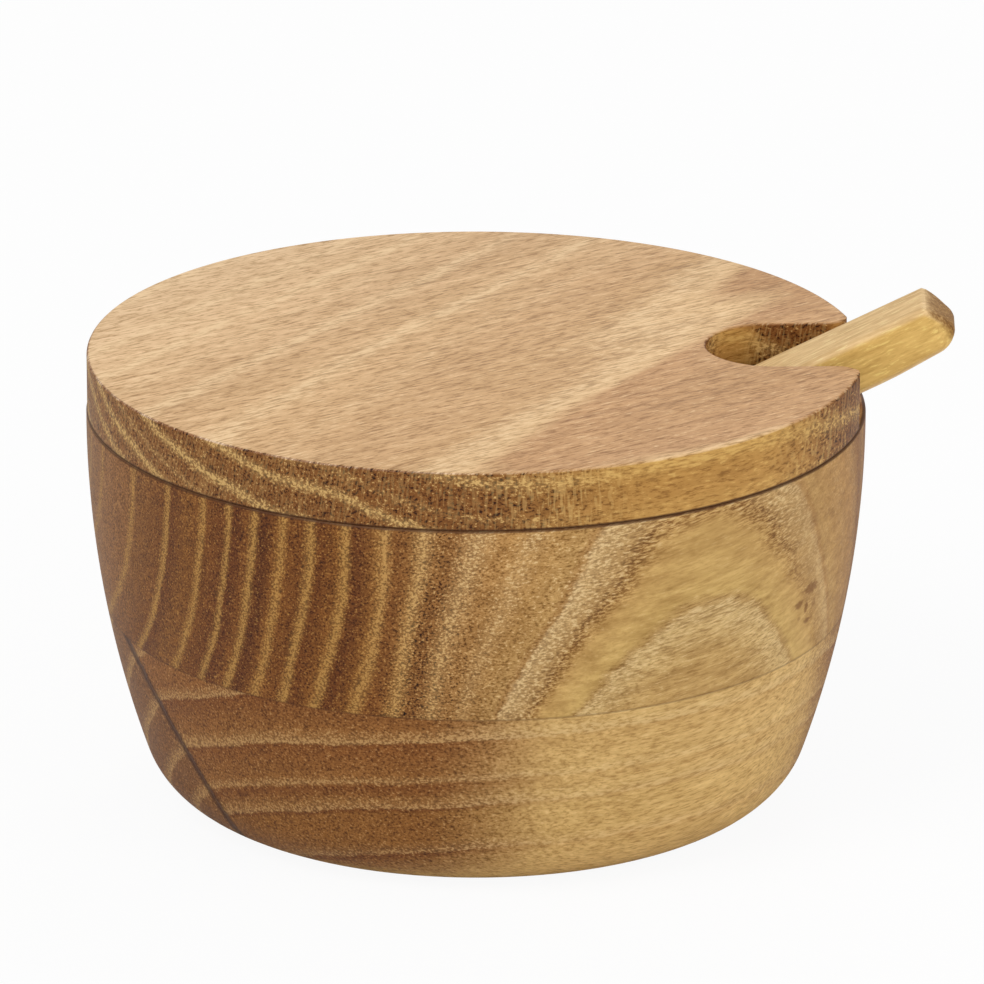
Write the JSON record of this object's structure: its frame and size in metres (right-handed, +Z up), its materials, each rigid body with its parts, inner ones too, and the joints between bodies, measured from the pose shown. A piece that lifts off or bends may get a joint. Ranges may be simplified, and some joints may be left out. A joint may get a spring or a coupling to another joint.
{
  "type": "salt box with lift-off lid",
  "caption": "Round turned wooden salt bowl with a flush lift-off lid, notched at the edge for the handle of a small wooden spoon that rests inside.",
  "frame": {"origin": "centre of the bowl's flat base, on the axis of the turning, level with the table", "axes": "+Z up along the axis of the bowl and the lid; +X towards the lid's notch and the spoon's handle"},
  "size_m": [0.1336, 0.12, 0.0793],
  "materials": {
    "bowl_upper_wood": "oiled, satin",
    "bowl_lower_wood": "oiled, satin",
    "bowl_strip_wood": "oiled, satin",
    "lid_wood": "oiled, satin",
    "spoon_wood": "oiled, satin"
  },
  "bodies": {
    "bowl": {"bowl_upper_board": "bowl_upper_wood", "bowl_lower_board": "bowl_lower_wood", "bowl_side_strip": "bowl_strip_wood"},
    "lid": {"lid": "lid_wood"},
    "spoon": {"spoon": "spoon_wood"}
  },
  "joints": [
    {"name": "lid_lift", "type": "slide", "parent": "bowl", "child": "lid", "axis": [0, 0, 1], "range_m": [0, 0.08]},
    {"name": "spoon_draw", "type": "slide", "parent": "bowl", "child": "spoon", "axis": [0.8917, -0.0545, 0.4493], "range_m": [0, 0.12]}
  ]
}
